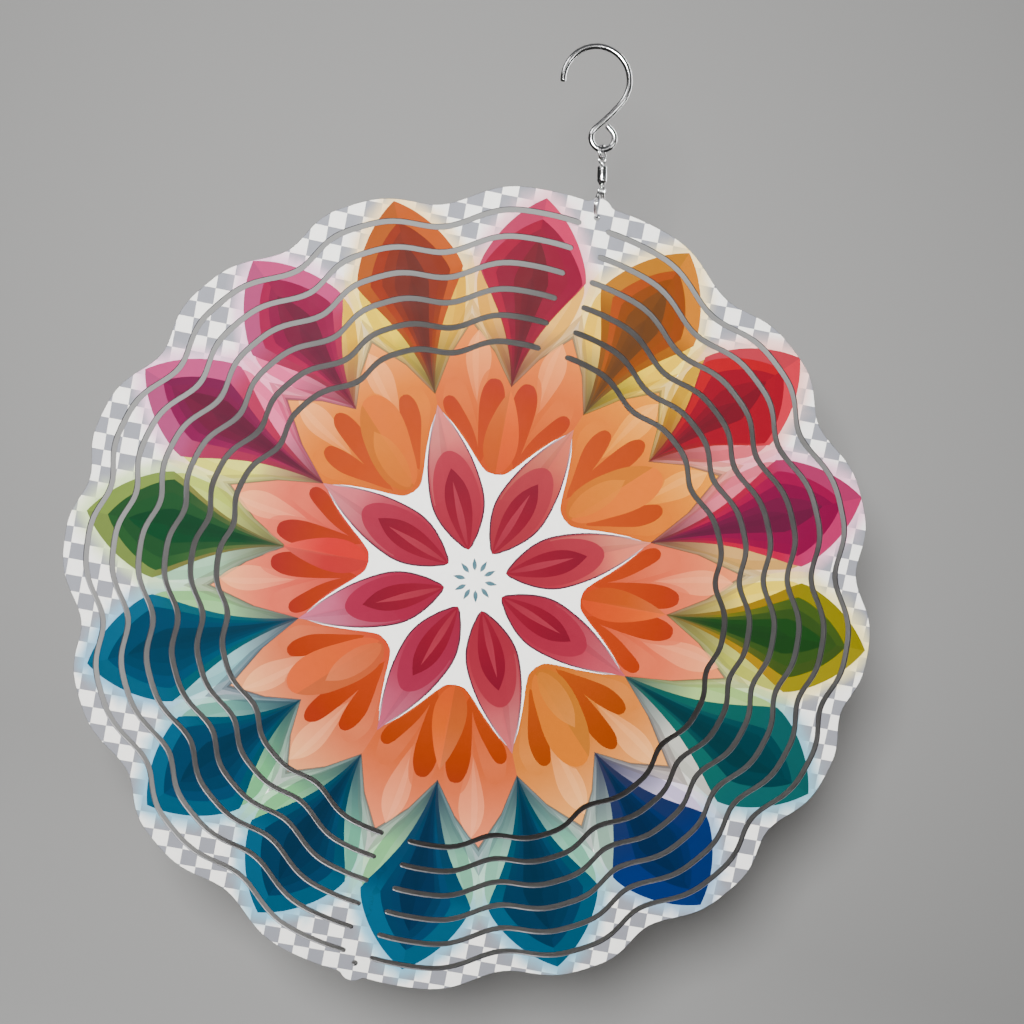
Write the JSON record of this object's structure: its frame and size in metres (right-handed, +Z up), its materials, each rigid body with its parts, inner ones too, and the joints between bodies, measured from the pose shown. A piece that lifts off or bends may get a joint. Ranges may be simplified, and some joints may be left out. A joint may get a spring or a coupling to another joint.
{
  "type": "hanging wind spinner",
  "caption": "Scalloped sheet-metal wind spinner of nested bands that twist about an upright axis, hung from a wire hook by a swivel and split rings.",
  "frame": {"origin": "inside top of the hook's bowl, where the spinner hangs on whatever holds it", "axes": "+Z up, along the axis that the bands twist about; the printed front faces -Y; +X is to the right seen from the front"},
  "size_m": [0.2567, 0.0081, 0.3088],
  "materials": {
    "printed_sheet": "aluminium sheet with a glossy white coat and a dye-printed flower mandala on a pale check, bare at its cut edges",
    "polished_steel": "polished stainless wire and swivel shell, with fine drawing marks"
  },
  "bodies": {
    "hook": {"hanging_hook": "polished_steel"},
    "upper_ring": {"upper_split_ring": "polished_steel"},
    "swivel_top": {"swivel_upper_eye": "polished_steel"},
    "swivel_shell": {"swivel_barrel": "polished_steel", "bearing_ball_1": "polished_steel", "bearing_ball_2": "polished_steel", "bearing_ball_3": "polished_steel", "bearing_ball_4": "polished_steel", "bearing_ball_5": "polished_steel", "bearing_ball_6": "polished_steel"},
    "swivel_foot": {"swivel_lower_eye": "polished_steel"},
    "lower_ring": {"lower_split_ring": "polished_steel"},
    "rim": {"rim_ring": "printed_sheet", "upper_tie_1": "printed_sheet", "lower_tie_1": "printed_sheet"},
    "band_1": {"twist_ring_1": "printed_sheet", "upper_tie_2": "printed_sheet", "lower_tie_2": "printed_sheet"},
    "band_2": {"twist_ring_2": "printed_sheet", "upper_tie_3": "printed_sheet", "lower_tie_3": "printed_sheet"},
    "band_3": {"twist_ring_3": "printed_sheet", "upper_tie_4": "printed_sheet", "lower_tie_4": "printed_sheet"},
    "band_4": {"twist_ring_4": "printed_sheet", "upper_tie_5": "printed_sheet", "lower_tie_5": "printed_sheet"},
    "band_5": {"twist_ring_5": "printed_sheet", "upper_tie_6": "printed_sheet", "lower_tie_6": "printed_sheet"},
    "disc": {"centre_disc": "printed_sheet"}
  },
  "joints": [
    {"name": "upper_ring_swing", "type": "hinge", "parent": "hook", "child": "upper_ring", "pos_m": [0.0112, 0, -0.02842], "axis": [0.9563, 0, 0.2924], "range_deg": [-30, 30]},
    {"name": "swivel_swing", "type": "hinge", "parent": "upper_ring", "child": "swivel_top", "pos_m": [0.01212, 0, -0.03143], "axis": [0.4782, 0.866, 0.1462], "range_deg": [-30, 30]},
    {"name": "upper_spin", "type": "hinge", "parent": "swivel_top", "child": "swivel_shell", "pos_m": [0.01351, 0, -0.03597], "axis": [-0.2924, 0, 0.9563], "continuous": true},
    {"name": "lower_spin", "type": "hinge", "parent": "swivel_shell", "child": "swivel_foot", "pos_m": [0.01351, 0, -0.03597], "axis": [-0.2924, 0, 0.9563], "continuous": true},
    {"name": "lower_ring_swing", "type": "hinge", "parent": "swivel_foot", "child": "lower_ring", "pos_m": [0.01516, 0, -0.0414], "axis": [0.8928, -0.3584, 0.273], "range_deg": [-20, 20]},
    {"name": "disc_swing", "type": "hinge", "parent": "lower_ring", "child": "rim", "pos_m": [0.01602, 0, -0.04874], "axis": [0, -1, 0], "range_deg": [-30, 30]},
    {"name": "twist_1", "type": "hinge", "parent": "rim", "child": "band_1", "pos_m": [0.01602, 0, -0.17474], "axis": [0, 0, 1], "range_deg": [-30, 30]},
    {"name": "twist_2", "type": "hinge", "parent": "band_1", "child": "band_2", "pos_m": [0.01602, 0, -0.17474], "axis": [0, 0, 1], "range_deg": [-30, 30]},
    {"name": "twist_3", "type": "hinge", "parent": "band_2", "child": "band_3", "pos_m": [0.01602, 0, -0.17474], "axis": [0, 0, 1], "range_deg": [-30, 30]},
    {"name": "twist_4", "type": "hinge", "parent": "band_3", "child": "band_4", "pos_m": [0.01602, 0, -0.17474], "axis": [0, 0, 1], "range_deg": [-30, 30]},
    {"name": "twist_5", "type": "hinge", "parent": "band_4", "child": "band_5", "pos_m": [0.01602, 0, -0.17474], "axis": [0, 0, 1], "range_deg": [-30, 30]},
    {"name": "twist_6", "type": "hinge", "parent": "band_5", "child": "disc", "pos_m": [0.01602, 0, -0.17474], "axis": [0, 0, 1], "range_deg": [-30, 30]}
  ]
}
